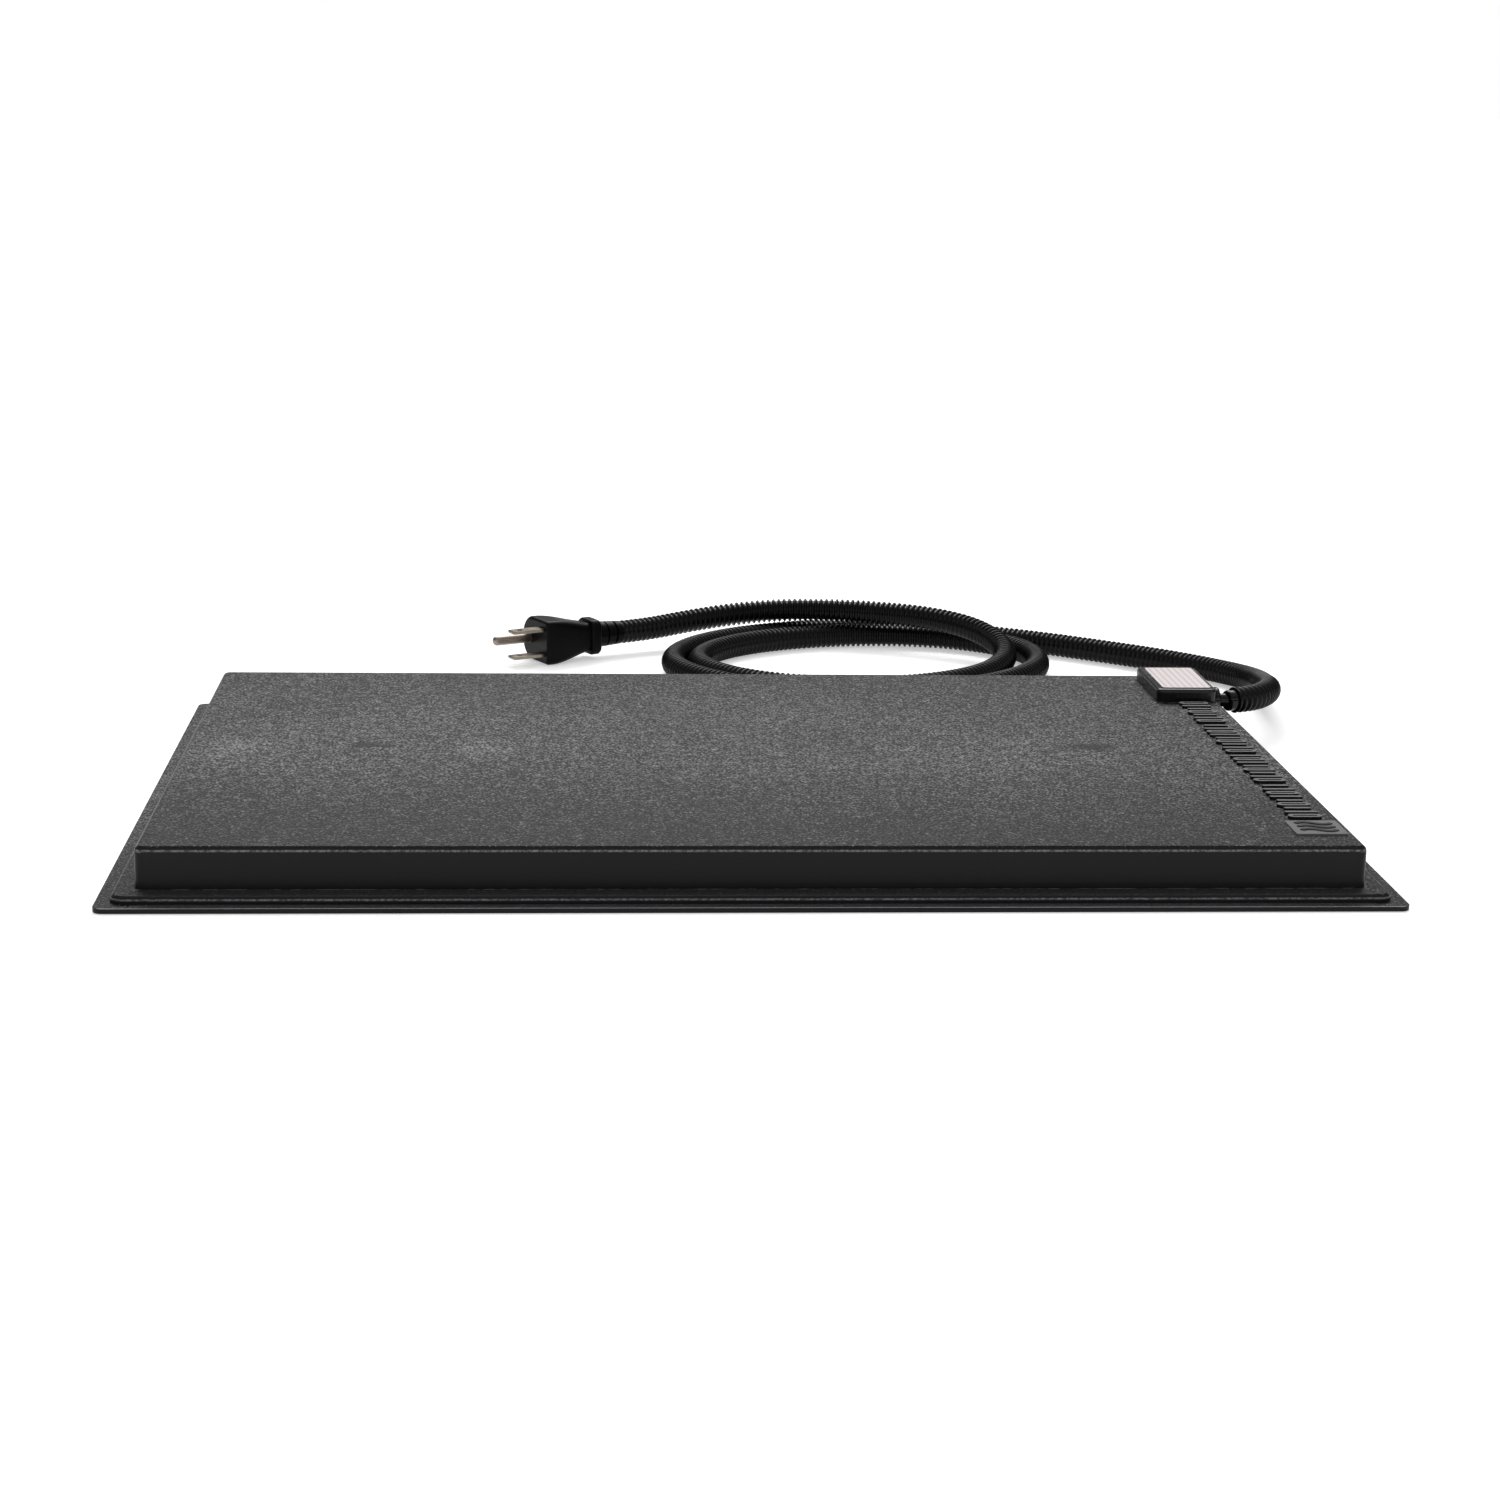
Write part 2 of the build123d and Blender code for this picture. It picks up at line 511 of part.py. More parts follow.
def ground_pin():
    """A round pin with a shoulder at the plug's face and a thinner shank inside the body."""
    y = BLADE_Y + GROUND_OFFSET
    pin = rod_x(GROUND_R, -GROUND_L, -0.6, y, 0)
    pin = fillet(pin.faces().sort_by(Axis.X)[0].outer_wire().edges(), GROUND_R - 0.3)
    return plug_place(pin + rod_x(GROUND_R + 0.2, -0.6, 0, y, 0) + rod_x(GROUND_R - 0.6, 0, 12, y, 0))


# ---------------------------------------------------------------- build
PARTS = {
    "top_shell": top_shell, "bottom_shell": bottom_shell, "badge": badge,
    "box_cover": box_cover, "box_gasket": box_gasket, "rating_label": rating_label,
    "box_screws": box_screws, "cord_gland": cord_gland, "gland_nut": gland_nut,
    "power_cable": power_cable, "strain_sleeve": strain_sleeve,
    "spreader_foil": spreader_foil, "heating_cable": heating_cable, "cable_tapes": cable_tapes,
    "insulation_board": insulation_board,
    "thermostat_cap": thermostat_cap, "thermostat_disc": thermostat_disc,
    "thermostat_guide": thermostat_guide, "thermostat_housing": thermostat_housing,
    "line_terminal": lambda: terminal(1), "load_terminal": lambda: terminal(-1),
    "contact_bridge": contact_bridge, "transfer_pin": transfer_pin, "contact_spring": contact_spring,
    "line_receptacle": lambda: receptacle(1), "load_receptacle": lambda: receptacle(-1),
    "line_lead": line_lead, "load_lead": load_lead, "neutral_lead": neutral_lead,
    "front_heater_joint": lambda: heater_joint(-1), "back_heater_joint": lambda: heater_joint(1),
    "ground_lead": ground_lead, "ground_terminal": ground_terminal, "ground_rivet": ground_rivet,
    "conduit_lead_in": conduit_lead_in, "conduit_coil": coil_ring, "conduit_lead_out": conduit_lead_out,
    "plug_body": plug_body, "plug_neck": plug_neck,
    "line_blade": lambda: blade(BLADE_GAP / 2), "neutral_blade": lambda: blade(-BLADE_GAP / 2),
    "ground_pin": ground_pin,
}

os.makedirs("parts", exist_ok=True)
for name, make in PARTS.items():
    export_step(make(), f"parts/{name}.step")
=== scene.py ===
"""The looks of the heated seedling mat: its grained shells, striped label, corrugated cord and plug."""
from math import cos, pi, radians, sin

import bpy
from mathutils import Matrix, Vector


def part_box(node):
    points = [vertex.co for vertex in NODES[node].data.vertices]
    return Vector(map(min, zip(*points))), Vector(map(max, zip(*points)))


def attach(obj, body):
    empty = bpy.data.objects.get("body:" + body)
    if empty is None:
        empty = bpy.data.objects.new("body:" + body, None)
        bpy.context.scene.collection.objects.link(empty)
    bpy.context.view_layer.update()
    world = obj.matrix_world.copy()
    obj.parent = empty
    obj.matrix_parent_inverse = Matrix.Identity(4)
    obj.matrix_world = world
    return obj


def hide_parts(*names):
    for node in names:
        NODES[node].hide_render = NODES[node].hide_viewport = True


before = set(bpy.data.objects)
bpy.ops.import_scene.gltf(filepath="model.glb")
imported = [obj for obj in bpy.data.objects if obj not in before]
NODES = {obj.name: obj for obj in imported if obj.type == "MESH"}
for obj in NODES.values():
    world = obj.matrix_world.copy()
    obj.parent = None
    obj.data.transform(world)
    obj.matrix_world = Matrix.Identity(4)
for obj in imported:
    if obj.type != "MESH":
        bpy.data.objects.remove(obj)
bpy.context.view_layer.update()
BODY = "mat"


# ---------------------------------------------------------------- camera
SENSOR_MM, LENS_MM, FAR_CLIP = 36.0, 67.39, 50.0
CAMERA_PLACE = (-0.0770, -1.1086, 0.2962)
CAMERA_YAW, CAMERA_PITCH, CAMERA_ROLL = radians(4.297), radians(13.948), radians(1.165)


def make_camera():
    """Stands in front of the mat, a little to the left, and looks slightly down and to the right."""
    data = bpy.data.cameras.new("camera")
    data.sensor_width, data.lens = SENSOR_MM, LENS_MM
    data.clip_end = FAR_CLIP
    camera = bpy.data.objects.new("camera", data)
    yaw, pitch, roll = CAMERA_YAW, CAMERA_PITCH, CAMERA_ROLL
    forward = Vector((sin(yaw) * cos(pitch), cos(yaw) * cos(pitch), -sin(pitch)))
    level = Vector((cos(yaw), -sin(yaw), 0.0))
    upright = level.cross(forward)
    right = level * cos(roll) + upright * sin(roll)
    up = upright * cos(roll) - level * sin(roll)
    turn = Matrix((right, up, -forward)).transposed()
    camera.matrix_world = Matrix.Translation(CAMERA_PLACE) @ turn.to_4x4()
    bpy.context.scene.collection.objects.link(camera)
    bpy.context.scene.camera = camera


# ---------------------------------------------------------------- the cord's route, in metres
EXIT = (0.2306, 0.0990, 0.0190)
LEAD_IN = [
    EXIT, (0.2400, 0.1024, 0.0190), (0.2492, 0.1145, 0.0187), (0.2550, 0.1320, 0.0169),
    (0.2580, 0.1520, 0.0138), (0.2620, 0.1755, 0.0101), (0.2622, 0.1990, 0.0071),
    (0.2542, 0.2176, 0.0060), (0.2390, 0.2350, 0.0060), (0.2220, 0.2505, 0.0060),
    (0.2020, 0.2660, 0.0060), (0.1790, 0.2830, 0.0060), (0.1540, 0.2980, 0.0060),
    (0.1280, 0.3100, 0.0060), (0.1000, 0.3170, 0.0060),
]
LEAD_OUT = [
    (0.1070, 0.1855, 0.0060), (0.1285, 0.2005, 0.0060), (0.1435, 0.2205, 0.0065),
    (0.1513, 0.2410, 0.0085), (0.1490, 0.2590, 0.0123), (0.1370, 0.2758, 0.0162),
    (0.1175, 0.2892, 0.0181), (0.0940, 0.3000, 0.0183), (0.0690, 0.3065, 0.0182),
    (0.0430, 0.3090, 0.0177), (0.0170, 0.3070, 0.0155), (-0.0080, 0.2988, 0.0129),
    (-0.0254, 0.2896, 0.0111), (-0.0404, 0.2816, 0.0111),
]
NEAR_STRETCH = 1.14                  # the coil is fuller on the side towards the mat
COIL_POINTS, COIL_TILT, COIL_START, COIL_END = 24, radians(13.0), 85.0, 625.0
COIL_WIND_FROM, COIL_WIND_OVER = 90.0, 630.0     # degrees, over which the coil draws in
COIL_AXES, COIL_AXES_LOST = (0.101, 0.075), (0.027, 0.0245)
COIL_CENTRE, COIL_CENTRE_LOST = (0.0805, 0.2415), (0.004, 0.0015)
COIL_Z = 0.006
CORD_D, CORD_LENGTH = 0.0118, 1.41


def coil_points():
    """A turn and a half on the floor, each a little smaller than the one outside it."""
    points = []
    for i in range(COIL_POINTS + 1):
        degrees = COIL_START + (COIL_END - COIL_START) * i / COIL_POINTS
        wound = (degrees - COIL_WIND_FROM) / COIL_WIND_OVER
        a, b = (full - lost * wound for full, lost in zip(COIL_AXES, COIL_AXES_LOST))
        centre_x, centre_y = (full - lost * wound for full, lost in zip(COIL_CENTRE, COIL_CENTRE_LOST))
        x, y = a * cos(radians(degrees)), b * sin(radians(degrees))
        y *= NEAR_STRETCH if y < 0 else 1.0
        points.append((centre_x + x * cos(COIL_TILT) - y * sin(COIL_TILT),
                       centre_y + x * sin(COIL_TILT) + y * cos(COIL_TILT), COIL_Z))
    return points


def nurbs_line(points, resolution=16):
    """Points along a smooth curve that has the given control points."""
    data = bpy.data.curves.new("route", "CURVE")
    data.dimensions, data.resolution_u = "3D", resolution
    spline = data.splines.new("NURBS")
    spline.points.add(len(points) - 1)
    for target, point in zip(spline.points, points):
        target.co = (*point, 1.0)
    spline.order_u = 3
    spline.use_endpoint_u = True
    obj = bpy.data.objects.new("route", data)
    bpy.context.scene.collection.objects.link(obj)
    bpy.context.view_layer.update()
    mesh = bpy.data.meshes.new_from_object(obj)
    line = [v.co.copy() for v in mesh.vertices]
    bpy.data.objects.remove(obj)
    return line


class Path:
    """A line that can be asked for the place and direction at a distance along it."""

    def __init__(self, line):
        self.line = line
        self.at = [0.0]
        for a, b in zip(line, line[1:]):
            self.at.append(self.at[-1] + (b - a).length)
        self.length = self.at[-1]

    def sample(self, distances):
        """Places at increasing distances."""
        places, k = [], 0
        for s in distances:
            while k < len(self.at) - 2 and self.at[k + 1] < s:
                k += 1
            t = (s - self.at[k]) / (self.at[k + 1] - self.at[k])
            places.append(self.line[k].lerp(self.line[k + 1], t))
        return places


def frames_along(places):
    """A turning-free pair of sideways directions at each place."""
    frames, side = [], Vector((0, 0, 1))
    for i in range(len(places)):
        ahead = (places[min(i + 1, len(places) - 1)] - places[max(i - 1, 0)]).normalized()
        side = (side - ahead * side.dot(ahead)).normalized()
        frames.append((side.copy(), ahead.cross(side)))
    return frames


def link_mesh(name, verts, faces, material):
    data = bpy.data.meshes.new(name)
    data.from_pydata(verts, [], faces)
    data.validate()
    for polygon in data.polygons:
        polygon.use_smooth = True
    obj = bpy.data.objects.new(name, data)
    bpy.context.scene.collection.objects.link(obj)
    data.materials.append(material)
    return obj


def skin_rings(rings):
    """Vertices and faces of a skin over equal rings of points, closed at both ends."""
    sides = len(rings[0])
    verts = [tuple(p) for ring in rings for p in ring]
    faces = []
    for r in range(len(rings) - 1):
        for k in range(sides):
            a, b = r * sides + k, r * sides + (k + 1) % sides
            faces.append((a, b, b + sides, a + sides))
    faces.append(tuple(reversed(range(sides))))
    faces.append(tuple(range((len(rings) - 1) * sides, len(rings) * sides)))
    return verts, faces


# ---------------------------------------------------------------- corrugated conduit
RIB_PITCH, RIB_DEPTH, CONDUIT_BORE = 0.0027, 0.00115, 0.00473
RIB_PROFILE = [(0.0, 0.0), (0.15, 0.12), (0.29, 0.85), (0.42, 1.0), (0.58, 1.0), (0.71, 0.85), (0.85, 0.12)]
CONDUIT_SIDES = 20
END_INSET = 0.0002                   # the last ring is this much slimmer than the ribs


def ring(place, sideways, radius):
    """A circle of points around a place on the route."""
    side, other = sideways
    return [place + (side * cos(a) + other * sin(a)) * radius
            for a in (2 * pi * k / CONDUIT_SIDES for k in range(CONDUIT_SIDES))]


def conduit(path, material):
    """Narrow round ribs with wide flat valleys, and an open mouth at the start."""
    count = int(path.length / RIB_PITCH)
    pitch = path.length / count
    steps = [((i + share) * pitch, CORD_D / 2 - depth * RIB_DEPTH)
             for i in range(count) for share, depth in RIB_PROFILE]
    steps.append((path.length, CORD_D / 2 - END_INSET))
    places = path.sample([s for s, _ in steps])
    sideways = frames_along(places)
    rings = [ring(place, frame_at, radius) for place, frame_at, (_, radius) in zip(places, sideways, steps)]
    mouth = [ring(places[i], sideways[i], CONDUIT_BORE) for i in (2 * len(RIB_PROFILE), len(RIB_PROFILE), 0)]
    verts, faces = skin_rings(mouth + rings)
    return link_mesh("conduit", verts, faces, material)


# ---------------------------------------------------------------- materials
# Paler scuffs are wear. The two spots with negative strength are painted shade where shallow dents are; the
# dents themselves are not modelled.
SCUFFS_AND_DENT_SHADE = (((-0.202, 0.0), (0.014, 0.022), 0.14), ((-0.103, 0.0), (0.018, 0.022), 0.11),
          ((-0.061, 0.002), (0.012, 0.016), 0.03), ((0.148, 0.006), (0.012, 0.006), -0.5),
          ((-0.148, 0.006), (0.010, 0.006), -0.4))


def new_material(name, color, roughness, **sockets):
    material = bpy.data.materials.new(name)
    material.use_nodes = True
    tree = material.node_tree
    shader = tree.nodes["Principled BSDF"]
    shader.inputs["Base Color"].default_value = (*color, 1.0)
    shader.inputs["Roughness"].default_value = roughness
    for key, value in sockets.items():
        shader.inputs[key.replace("_", " ")].default_value = value
    return material, tree, shader


def add(tree, kind, **settings):
    node = tree.nodes.new(kind)
    for key, value in settings.items():
        if hasattr(node, key):
            setattr(node, key, value)
        else:
            node.inputs[key.replace("_", " ")].default_value = value
    return node


def object_coords(tree):
    return add(tree, "ShaderNodeTexCoord").outputs["Object"]


def noise(tree, vector, scale, detail=2.0, roughness=0.5):
    node = add(tree, "ShaderNodeTexNoise", Scale=scale, Detail=detail, Roughness=roughness)
    tree.links.new(vector, node.inputs["Vector"])
    return node.outputs["Fac"]


def ramp(tree, value, stops):
    """A colour ramp with (position, grey or colour) stops."""
    node = add(tree, "ShaderNodeValToRGB")
    elements = node.color_ramp.elements
    while len(elements) < len(stops):
        elements.new(0.5)
    for element, (position, tone) in zip(elements, stops):
        element.position = position
        element.color = (tone, tone, tone, 1.0) if isinstance(tone, float) else (*tone, 1.0)
    tree.links.new(value, node.inputs["Fac"])
    return node.outputs["Color"]


def calc(tree, operation, a, b=None, clamp=False):
    node = add(tree, "ShaderNodeMath", operation=operation, use_clamp=clamp)
    for socket, value in zip(node.inputs, (a, b)):
        if value is None:
            continue
        if isinstance(value, (int, float)):
            socket.default_value = value
        else:
            tree.links.new(value, socket)
    return node.outputs[0]


def mix_colors(tree, factor, a, b):
    node = add(tree, "ShaderNodeMix", data_type="RGBA")
    tree.links.new(factor, node.inputs["Factor"])
    for socket, value in ((node.inputs[6], a), (node.inputs[7], b)):
        if isinstance(value, tuple):
            socket.default_value = value
        else:
            tree.links.new(value, socket)
    return node.outputs[2]


def bump(tree, shader, height, distance):
    node = add(tree, "ShaderNodeBump", Strength=1.0, Distance=distance)
    tree.links.new(height, node.inputs["Height"])
    tree.links.new(node.outputs["Normal"], shader.inputs["Normal"])


def soft_spot(tree, coords, centre, size):
    """1 at the centre of an oval on the deck, falling to 0 at its edge."""
    mapping = add(tree, "ShaderNodeMapping", vector_type="TEXTURE")
    mapping.inputs["Location"].default_value = (*centre, 0.0)
    mapping.inputs["Scale"].default_value = (*size, 1.0)
    tree.links.new(coords, mapping.inputs["Vector"])
    gradient = add(tree, "ShaderNodeTexGradient", gradient_type="SPHERICAL")
    tree.links.new(mapping.outputs["Vector"], gradient.inputs["Vector"])
    return gradient.outputs["Fac"]


RELIEF_Z = 0.0206                    # above this the raised marks are smooth
# Painted highlight: faces tilted this far from upright, on the rounded edges, get a pale band.
EDGE_GLINT_BAND = ((0.10, 0.0), (0.22, 1.0), (0.42, 1.0), (0.55, 0.0))
DECK_FRONT, FLANGE_FRONT, DECK_HALF = -0.14445, -0.15875, 0.2222
# Below LEDGE_TOP and in front of the wall the ledges get a painted shadow; LINE_WIDTH is the width of the
# painted highlight lines at their edges.
LEDGE_TOP, WALL_SLACK, LINE_WIDTH = 0.006, 0.0002, 0.0006
GRAIN_CONTRAST, GRAIN_DEPTH, CLOUD_SHARE, DARKEN = 2.1, 0.0006, 0.10, 0.185
FRONT_SHIFT = 0.15                   # moves Y so that the deck's shading can start at 0
DECK_SHADING = ((0.02, 0.0), (0.13, 0.155), (0.20, 0.145), (0.29, 0.08))


def front_ledges(tree, place, grain):
    """Masks for the ledges in front of the wall: where a painted shadow of the wall darkens them, and a
    painted highlight line at each edge.
    """
    x, y, z = place.outputs["X"], place.outputs["Y"], place.outputs["Z"]
    front = calc(tree, "LESS_THAN", y, DECK_FRONT + WALL_SLACK)
    ledge = calc(tree, "MULTIPLY", front, calc(tree, "LESS_THAN", z, LEDGE_TOP))
    within = calc(tree, "LESS_THAN", calc(tree, "ABSOLUTE", x), DECK_HALF)
    # Painted shadow of the wall, mottled by the grain.
    shade = calc(tree, "MULTIPLY", calc(tree, "MULTIPLY", ledge, within),
                 ramp(tree, grain, ((0.35, 0.97), (0.65, 0.72))))
    # Painted highlight lines: a broken one at the foot of the wall, a full one at the flange's front edge.
    inner = calc(tree, "MULTIPLY", calc(tree, "GREATER_THAN", y, DECK_FRONT - LINE_WIDTH),
                 ramp(tree, noise(tree, object_coords(tree), 260.0), ((0.45, 0.0), (0.6, 0.5))))
    outer = calc(tree, "LESS_THAN", y, FLANGE_FRONT + LINE_WIDTH)
    edges = calc(tree, "ADD", calc(tree, "MULTIPLY", inner, within), outer, clamp=True)
    lines = calc(tree, "MULTIPLY", ledge, edges)
    return shade, lines


def shell_material():
    """Black moulded plastic: coarse grain on what faces up, smooth sides, paler scuffs, painted shade for
    two dents, and painted highlights on rounded edges and raised tops.

    Part of the studio's shading is in the colour: the deck and the ledges get darker towards the front.
    """
    material, tree, shader = new_material("grained_black_abs", (0.012, 0.012, 0.0125), 0.42,
                                          Specular_IOR_Level=0.10)
    coords = object_coords(tree)
    facing = add(tree, "ShaderNodeSeparateXYZ")
    tree.links.new(add(tree, "ShaderNodeTexCoord").outputs["Normal"], facing.inputs[0])
    place = add(tree, "ShaderNodeSeparateXYZ")
    tree.links.new(coords, place.inputs[0])
    low = calc(tree, "LESS_THAN", place.outputs["Z"], RELIEF_Z)
    upward = ramp(tree, facing.outputs["Z"], ((0.80, 0.0), (0.97, 1.0)))
    grained = calc(tree, "MULTIPLY", upward, low)
    grain = noise(tree, coords, 1000.0, 2.0, 0.65)
    blotch = noise(tree, coords, 190.0, 3.0, 0.6)
    cloud = noise(tree, coords, 14.0, 2.0, 0.5)
    height = calc(tree, "ADD", grain, calc(tree, "MULTIPLY", blotch, 0.5))
    bump(tree, shader, calc(tree, "MULTIPLY", height, grained), GRAIN_DEPTH)
    tone = calc(tree, "ADD", calc(tree, "MULTIPLY", grain, 0.8), calc(tree, "MULTIPLY", blotch, 0.2))
    tone = calc(tree, "ADD", calc(tree, "MULTIPLY", calc(tree, "SUBTRACT", tone, 0.5), GRAIN_CONTRAST), 0.5)
    scuffs_and_dent_shade = None
    # Scuffs lighten the grain, and the negative spots paint the shade of two dents.
    for centre, size, strength in SCUFFS_AND_DENT_SHADE:
        spot = calc(tree, "MULTIPLY", soft_spot(tree, coords, centre, size), strength)
        scuffs_and_dent_shade = spot if scuffs_and_dent_shade is None else calc(tree, "ADD", scuffs_and_dent_shade, spot)
    value = calc(tree, "ADD", tone, scuffs_and_dent_shade)
    value = calc(tree, "ADD", value, calc(tree, "MULTIPLY", calc(tree, "SUBTRACT", cloud, 0.5), CLOUD_SHARE))
    depth = calc(tree, "ADD", place.outputs["Y"], FRONT_SHIFT)
    value = calc(tree, "ADD", value, ramp(tree, depth, DECK_SHADING))
    value = calc(tree, "SUBTRACT", value, DARKEN)
    grain_and_painted_light = ramp(tree, value, ((0.36, (0.002, 0.002, 0.0022)), (0.48, (0.014, 0.0137, 0.014)),
                                 (0.58, (0.10, 0.098, 0.099)), (0.8, (0.26, 0.257, 0.258))))
    # Painted highlight along the rounded edges, speckled by the grain, over the dark side colour.
    painted_edge_glint = calc(tree, "MULTIPLY", ramp(tree, facing.outputs["Z"], EDGE_GLINT_BAND),
               ramp(tree, grain, ((0.40, 0.25), (0.62, 1.0))))
    side = mix_colors(tree, painted_edge_glint, (0.009, 0.009, 0.0101, 1.0), (0.16, 0.16, 0.165, 1.0))
    # Painted sheen: the smooth tops of the raised marks are pale grey, while their sides keep the dark side
    # colour.
    tops = calc(tree, "SUBTRACT", upward, grained)
    smooth = mix_colors(tree, tops, side, (0.13, 0.128, 0.129, 1.0))
    # Painted shadow on the ledges in front of the wall, then painted highlight lines along their edges.
    shade, lines = front_ledges(tree, place, grain)
    grain_and_painted_light = mix_colors(tree, shade, grain_and_painted_light, (0.033, 0.033, 0.035, 1.0))
    grain_and_painted_light = mix_colors(tree, lines, grain_and_painted_light, (0.30, 0.30, 0.305, 1.0))
    tree.links.new(mix_colors(tree, grained, smooth, grain_and_painted_light), shader.inputs["Base Color"])
    rough = ramp(tree, grain, ((0.35, 0.6), (0.65, 0.38)))
    tree.links.new(mix_colors(tree, grained, (0.36, 0.36, 0.36, 1.0), rough), shader.inputs["Roughness"])
    return material


def plain_moulding(name, color, roughness, grain_scale, depth, specular=0.5):
    """Plastic, rubber or ceramic of one colour, with a fine grain."""
    material, tree, shader = new_material(name, color, roughness, Specular_IOR_Level=specular)
    coords = object_coords(tree)
    grain = noise(tree, coords, grain_scale, 3.0, 0.6)
    bump(tree, shader, grain, depth)
    low = tuple(0.8 * c for c in color)
    high = tuple(1.25 * c for c in color)
    tree.links.new(ramp(tree, grain, ((0.3, low), (0.7, high))), shader.inputs["Base Color"])
    patches = noise(tree, coords, grain_scale / 12)
    tree.links.new(ramp(tree, patches, ((0.3, roughness * 0.85), (0.7, roughness * 1.15))),
                   shader.inputs["Roughness"])
    return material


def metal(name, color, roughness, scratch_scale=(40.0, 900.0, 900.0)):
    """Metal with fine drawn lines."""
    material, tree, shader = new_material(name, color, roughness, Metallic=1.0)
    mapping = add(tree, "ShaderNodeMapping")
    mapping.inputs["Scale"].default_value = scratch_scale
    tree.links.new(object_coords(tree), mapping.inputs["Vector"])
    lines = noise(tree, mapping.outputs["Vector"], 3.0, 4.0, 0.7)
    tree.links.new(ramp(tree, lines, ((0.3, roughness * 0.7), (0.7, min(1.0, roughness * 1.5)))),
                   shader.inputs["Roughness"])
    bump(tree, shader, lines, 0.00002)
    return material


STRIPES, STRIPE_SHIFT = 7.6, 0.15    # the label's lines over its width, and the first one's place
MOTIF_Z = 0.02125                    # above this the badge's raised waves are dark


def label_material():
    """White film with pale pink lines along its length."""
    material, tree, shader = new_material("striped_label", (0.85, 0.84, 0.84), 0.35)
    low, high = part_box("rating_label")
    split = add(tree, "ShaderNodeSeparateXYZ")
    tree.links.new(object_coords(tree), split.inputs[0])
    pitch = (high[0] - low[0]) / STRIPES
    from_edge = calc(tree, "SUBTRACT", split.outputs["X"], low[0] + STRIPE_SHIFT * pitch)
    across = calc(tree, "DIVIDE", from_edge, pitch)
    wave = calc(tree, "ABSOLUTE", calc(tree, "SUBTRACT", calc(tree, "FRACT", across), 0.5))
    tone = ramp(tree, wave, ((0.0, (0.55, 0.38, 0.38)), (0.14, (0.57, 0.44, 0.44)),
                             (0.26, (0.62, 0.61, 0.615)), (1.0, (0.62, 0.61, 0.615))))
    tree.links.new(tone, shader.inputs["Base Color"])
    bump(tree, shader, noise(tree, object_coords(tree), 300.0), 0.00003)
    return material


def badge_material():
    """Smooth plate, darker on the faces of its raised waves."""
    material, tree, shader = new_material("smooth_badge", (0.1, 0.1, 0.1), 0.5, Specular_IOR_Level=0.10)
    place = add(tree, "ShaderNodeSeparateXYZ")
    tree.links.new(object_coords(tree), place.inputs[0])
    motif = calc(tree, "GREATER_THAN", place.outputs["Z"], MOTIF_Z)
    tree.links.new(mix_colors(tree, motif, (0.115, 0.113, 0.114, 1.0), (0.006, 0.006, 0.0064, 1.0)),
                   shader.inputs["Base Color"])
    bump(tree, shader, noise(tree, object_coords(tree), 900.0), 0.00003)
    return material


def conduit_material():
    """Black polyethylene, slightly mottled."""
    material, tree, shader = new_material("black_conduit", (0.002, 0.002, 0.0022), 0.3,
                                          Specular_IOR_Level=0.15)
    coords = object_coords(tree)
    mottle = noise(tree, coords, 400.0, 3.0, 0.6)
    tree.links.new(ramp(tree, mottle, ((0.3, (0.0012, 0.0012, 0.0014)), (0.7, (0.0028, 0.0028, 0.003)))),
                   shader.inputs["Base Color"])
    tree.links.new(ramp(tree, mottle, ((0.3, 0.27), (0.7, 0.33))), shader.inputs["Roughness"])
    bump(tree, shader, noise(tree, coords, 500.0, 2.0), 0.00002)
    return material


# ---------------------------------------------------------------- stage and lights
BACK_LIGHT, FRONT_LIGHT, TOP_LIGHT, DIM = 7.0, 2.2, 0.6, 0.08
FLOOR_GLOW, FLOOR_SIZE, FLOOR_Z = 0.42, 30.0, -0.0001
KEY_PLACE, KEY_TARGET, KEY_SIZE, KEY_POWER = (-0.2, 1.3, 1.3), (0.05, 0.15, 0), 0.5, 3.5


def make_stage():
    bpy.ops.mesh.primitive_plane_add(size=FLOOR_SIZE, location=(0, 0, FLOOR_Z))
    floor_plane = bpy.context.object
    floor_plane.name = "floor"
    material, tree, shader = new_material("pale_floor", (0.80, 0.80, 0.80), 0.9)
    shader.inputs["Specular IOR Level"].default_value = 0.0
    shader.inputs["Emission Color"].default_value = (1.0, 1.0, 1.0, 1.0)
    shader.inputs["Emission Strength"].default_value = FLOOR_GLOW
    floor_plane.data.materials.append(material)


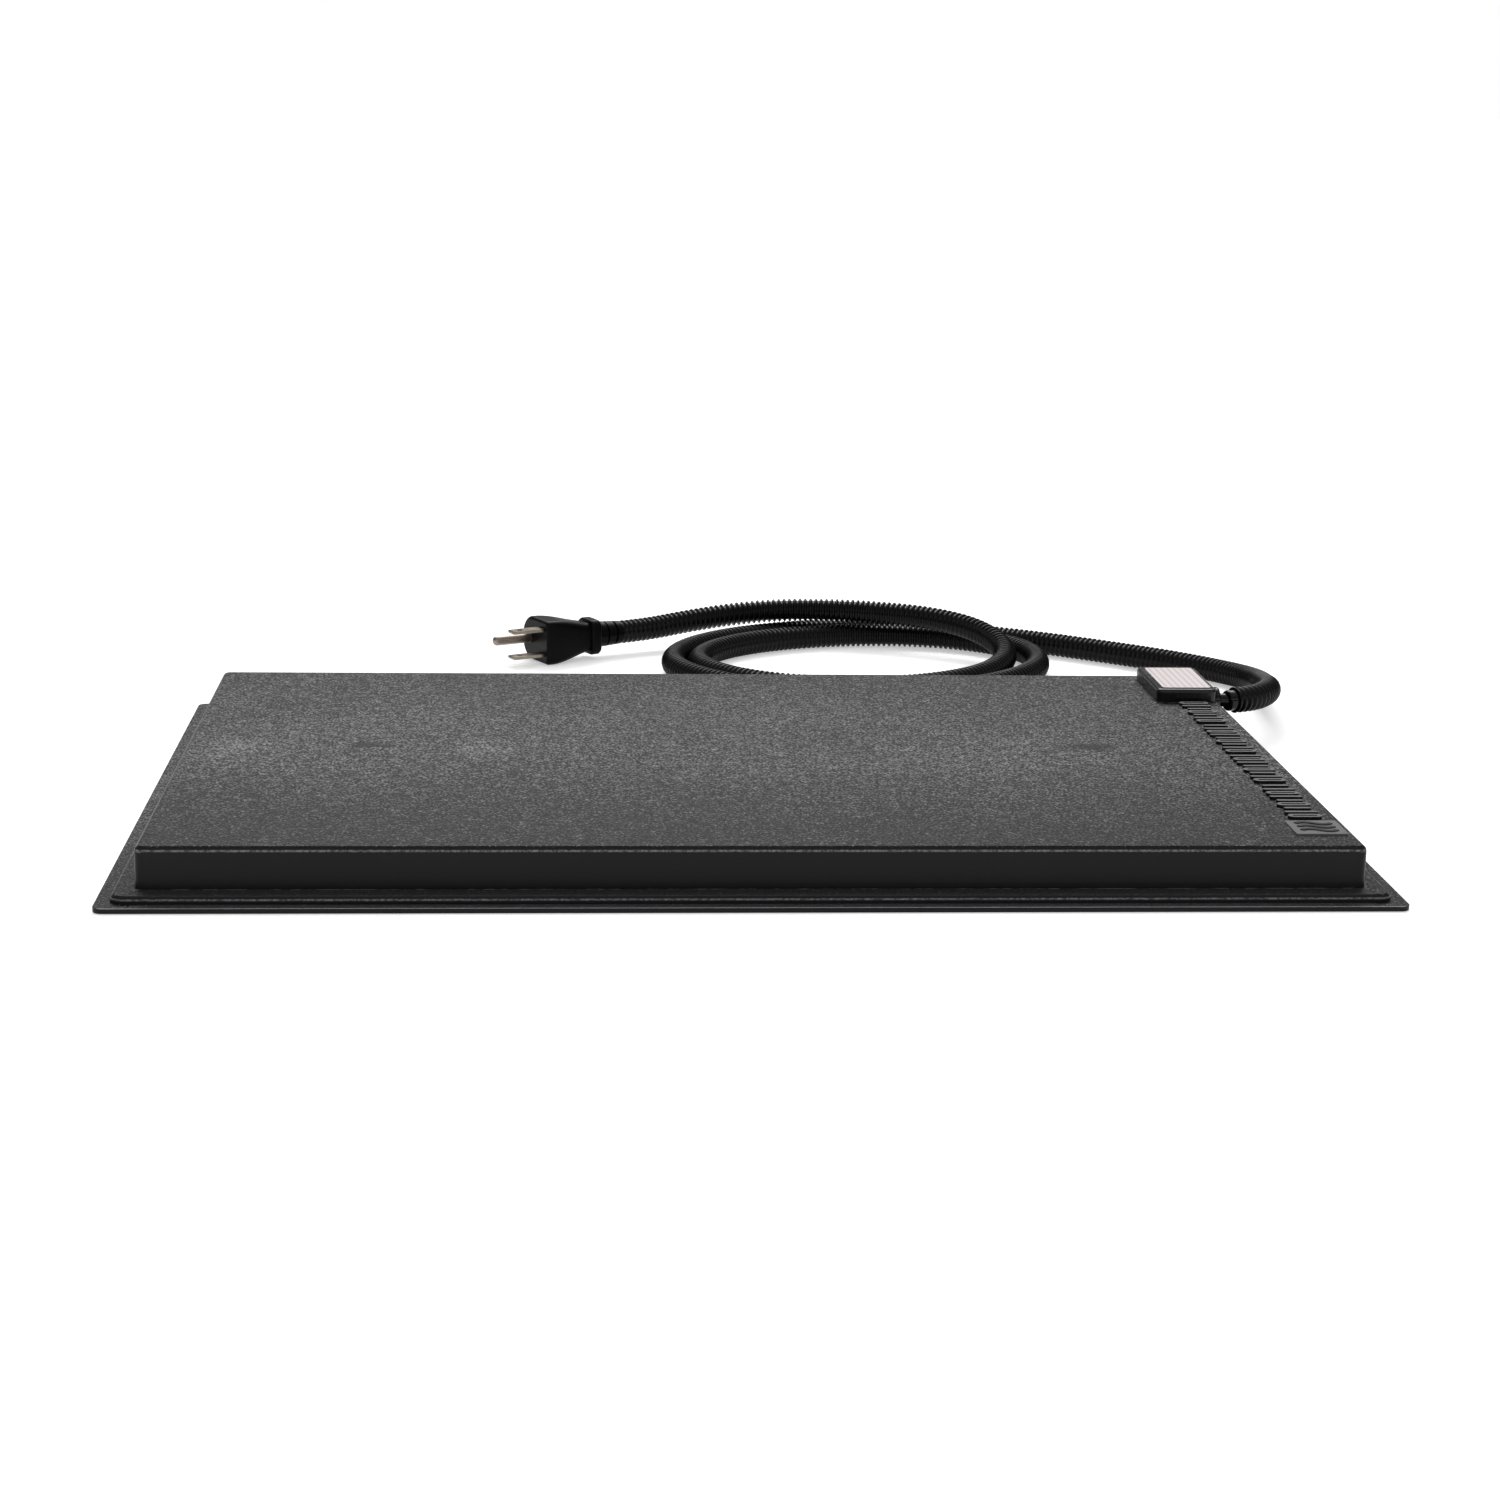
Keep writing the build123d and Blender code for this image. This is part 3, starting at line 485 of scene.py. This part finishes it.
def make_world():
    """A soft studio: a band of light behind, a weaker one low in front, some from above, a white horizon."""
    world = bpy.data.worlds.new("studio")
    world.use_nodes = True
    tree = world.node_tree
    split = add(tree, "ShaderNodeSeparateXYZ")
    tree.links.new(add(tree, "ShaderNodeTexCoord").outputs["Generated"], split.inputs[0])
    height, back = split.outputs["Z"], split.outputs["Y"]
    behind = calc(tree, "MULTIPLY", ramp(tree, height, ((0.42, 0.0), (0.58, 1.0), (0.80, 1.0), (0.93, 0.0))),
                  ramp(tree, back, ((0.05, 0.0), (0.35, 1.0))))
    aside = calc(tree, "ABSOLUTE", split.outputs["X"])
    behind = calc(tree, "MULTIPLY", behind, ramp(tree, aside, ((0.26, 1.0), (0.48, 0.0))))
    ahead = calc(tree, "MULTIPLY", ramp(tree, height, ((0.20, 0.0), (0.27, 1.0), (0.38, 1.0), (0.47, 0.0))),
                 ramp(tree, calc(tree, "MULTIPLY", back, -1.0), ((0.35, 0.0), (0.6, 1.0))))
    over = ramp(tree, height, ((0.45, 0.0), (0.80, 1.0)))
    total = calc(tree, "ADD", calc(tree, "MULTIPLY", behind, BACK_LIGHT),
                 calc(tree, "MULTIPLY", ahead, FRONT_LIGHT))
    total = calc(tree, "ADD", total, calc(tree, "MULTIPLY", over, TOP_LIGHT))
    total = calc(tree, "ADD", total, DIM)
    horizon = ramp(tree, height, ((0.035, 1.0), (0.06, 0.0)))
    tree.links.new(calc(tree, "MAXIMUM", total, horizon), tree.nodes["Background"].inputs["Strength"])
    tree.nodes["Background"].inputs["Color"].default_value = (1.0, 1.0, 1.0, 1.0)
    bpy.context.scene.world = world


def area_light(name, place, target, size, power):
    data = bpy.data.lights.new(name, "AREA")
    data.shape, data.size, data.energy = "DISK", size, power
    light = bpy.data.objects.new(name, data)
    light.location = place
    light.rotation_euler = (Vector(target) - Vector(place)).to_track_quat("-Z", "Y").to_euler()
    bpy.context.scene.collection.objects.link(light)


# ---------------------------------------------------------------- build
def paint(material, *names):
    for name in names:
        NODES[name].data.materials.clear()
        NODES[name].data.materials.append(material)


make_camera()
make_stage()
make_world()
area_light("key", KEY_PLACE, KEY_TARGET, KEY_SIZE, KEY_POWER)
bpy.context.scene.view_settings.view_transform = "Standard"

route = LEAD_IN + coil_points() + LEAD_OUT
cord_path = Path(nurbs_line(route))
cord = conduit(cord_path, conduit_material())
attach(cord, BODY)
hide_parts("conduit_lead_in", "conduit_coil", "conduit_lead_out")
print("cord length", cord_path.length)

paint(shell_material(), "top_shell", "bottom_shell")
paint(badge_material(), "badge")
paint(plain_moulding("box_gloss", (0.003, 0.003, 0.0038), 0.25, 700.0, 0.00005, 0.3), "box_cover")
paint(plain_moulding("gland_gloss", (0.004, 0.004, 0.0045), 0.18, 700.0, 0.00003, 0.25),
      "cord_gland", "gland_nut")
paint(plain_moulding("gasket_rubber", (0.012, 0.012, 0.012), 0.7, 900.0, 0.00004), "box_gasket")
paint(plain_moulding("jacket_black", (0.003, 0.003, 0.0034), 0.16, 600.0, 0.00003, 0.2),
      "strain_sleeve", "power_cable")
paint(label_material(), "rating_label")
paint(plain_moulding("plug_vinyl", (0.0022, 0.0022, 0.0026), 0.36, 500.0, 0.00003, 0.06),
      "plug_body", "plug_neck")
paint(metal("nickel", (0.25, 0.215, 0.18), 0.3), "line_blade", "neutral_blade", "ground_pin")
paint(metal("foil", (0.8, 0.8, 0.81), 0.3), "spreader_foil", "cable_tapes")
paint(metal("plated_steel", (0.55, 0.55, 0.57), 0.3), "box_screws", "thermostat_cap", "ground_terminal",
      "contact_spring")
paint(metal("bimetal", (0.66, 0.64, 0.58), 0.3), "thermostat_disc")
paint(metal("aluminium", (0.75, 0.75, 0.76), 0.3), "ground_rivet")
paint(metal("brass", (0.78, 0.58, 0.28), 0.28), "line_terminal", "load_terminal", "contact_bridge")
paint(plain_moulding("red_silicone", (0.36, 0.05, 0.035), 0.5, 900.0, 0.00004), "heating_cable")
paint(plain_moulding("foam", (0.7, 0.7, 0.64), 0.9, 500.0, 0.0002), "insulation_board")
paint(plain_moulding("ceramic", (0.78, 0.75, 0.68), 0.6, 900.0, 0.00005), "thermostat_guide", "transfer_pin")
paint(plain_moulding("phenolic", (0.06, 0.035, 0.025), 0.4, 800.0, 0.00005), "thermostat_housing")
paint(plain_moulding("amber_boot", (0.62, 0.5, 0.28), 0.35, 600.0, 0.00003),
      "line_receptacle", "load_receptacle", "front_heater_joint", "back_heater_joint")
paint(plain_moulding("black_wire", (0.015, 0.015, 0.015), 0.4, 900.0, 0.00003), "line_lead", "load_lead")
paint(plain_moulding("white_wire", (0.75, 0.75, 0.72), 0.4, 900.0, 0.00003), "neutral_lead")
paint(plain_moulding("green_wire", (0.03, 0.26, 0.07), 0.4, 900.0, 0.00003), "ground_lead")
